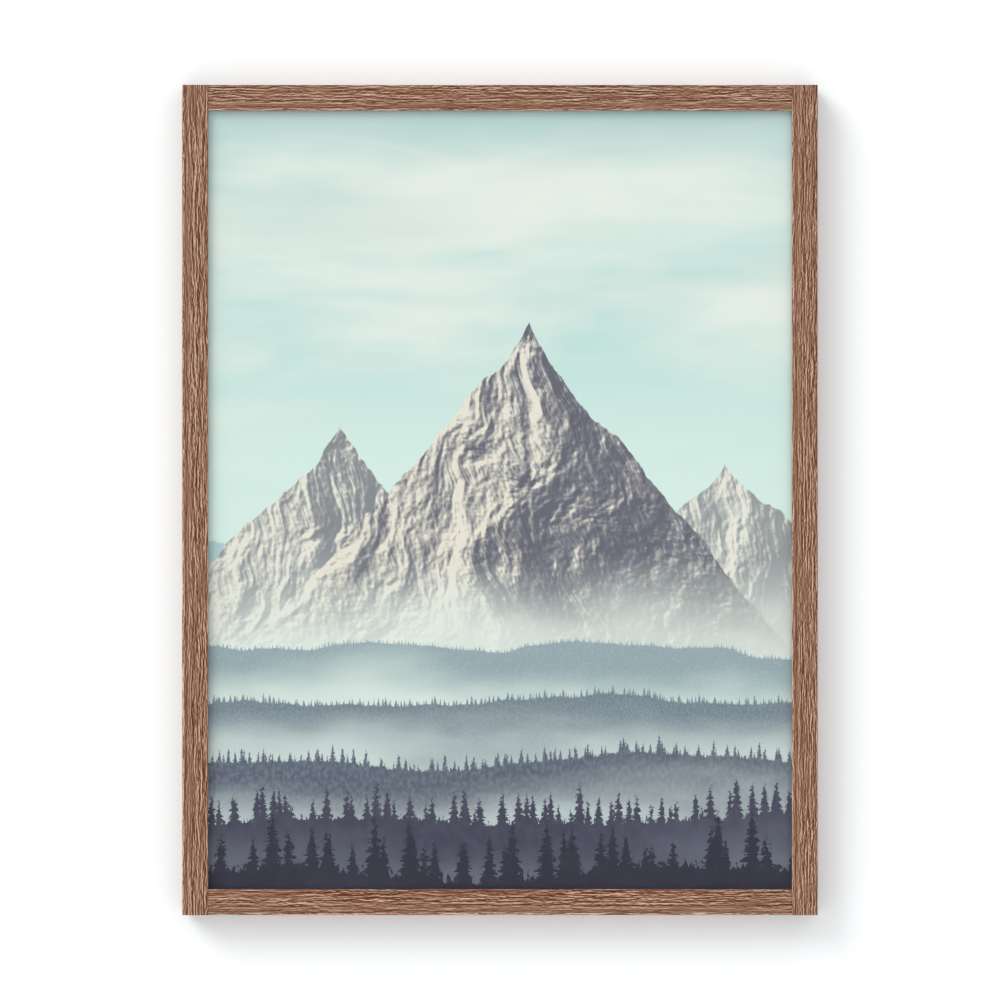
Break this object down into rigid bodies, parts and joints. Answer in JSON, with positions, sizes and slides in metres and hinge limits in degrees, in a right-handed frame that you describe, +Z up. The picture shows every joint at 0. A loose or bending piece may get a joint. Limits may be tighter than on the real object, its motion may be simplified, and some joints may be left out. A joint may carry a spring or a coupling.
{
  "type": "framed print",
  "caption": "Framed print for a wall: a brown wood frame with butt-jointed corners, picture glass, a printed misty landscape and a hardboard back with a sawtooth hanger.",
  "frame": {"origin": "the point where the wall's nail bears on the sawtooth plate's middle notch, in the plane of the frame's wooden back", "axes": "+Z up, the picture faces -Y, the wall is on the +Y side, +X to the right for someone who looks at the picture"},
  "size_m": [0.49, 0.025, 0.64],
  "materials": {
    "wood": "matte",
    "glass": "polished",
    "printed_paper": "matte",
    "hardboard": "matte",
    "spring_steel": "satin",
    "zinc_plated_steel": "satin",
    "brass_plated_steel": "satin",
    "rubber": "matte"
  },
  "bodies": {
    "root": {"left_stile": "wood", "right_stile": "wood", "top_rail": "wood", "bottom_rail": "wood", "picture_glass": "glass", "print_sheet": "printed_paper", "backing_board": "hardboard", "retaining_tab_1": "spring_steel", "retaining_tab_2": "spring_steel", "retaining_tab_3": "spring_steel", "retaining_tab_4": "spring_steel", "retaining_tab_5": "spring_steel", "retaining_tab_6": "spring_steel", "retaining_tab_7": "spring_steel", "retaining_tab_8": "spring_steel", "retaining_tab_9": "spring_steel", "retaining_tab_10": "spring_steel", "corner_plate_top_left": "zinc_plated_steel", "corner_plate_top_right": "zinc_plated_steel", "corner_plate_bottom_left": "zinc_plated_steel", "corner_plate_bottom_right": "zinc_plated_steel", "corner_screw_top_left_1": "zinc_plated_steel", "corner_screw_top_left_2": "zinc_plated_steel", "corner_screw_top_left_3": "zinc_plated_steel", "corner_screw_top_left_4": "zinc_plated_steel", "corner_screw_top_right_1": "zinc_plated_steel", "corner_screw_top_right_2": "zinc_plated_steel", "corner_screw_top_right_3": "zinc_plated_steel", "corner_screw_top_right_4": "zinc_plated_steel", "corner_screw_bottom_left_1": "zinc_plated_steel", "corner_screw_bottom_left_2": "zinc_plated_steel", "corner_screw_bottom_left_3": "zinc_plated_steel", "corner_screw_bottom_left_4": "zinc_plated_steel", "corner_screw_bottom_right_1": "zinc_plated_steel", "corner_screw_bottom_right_2": "zinc_plated_steel", "corner_screw_bottom_right_3": "zinc_plated_steel", "corner_screw_bottom_right_4": "zinc_plated_steel", "hanger_plate": "brass_plated_steel", "hanger_nail_left": "brass_plated_steel", "hanger_nail_right": "brass_plated_steel", "bumper_left": "rubber", "bumper_right": "rubber"}
  },
  "joints": []
}
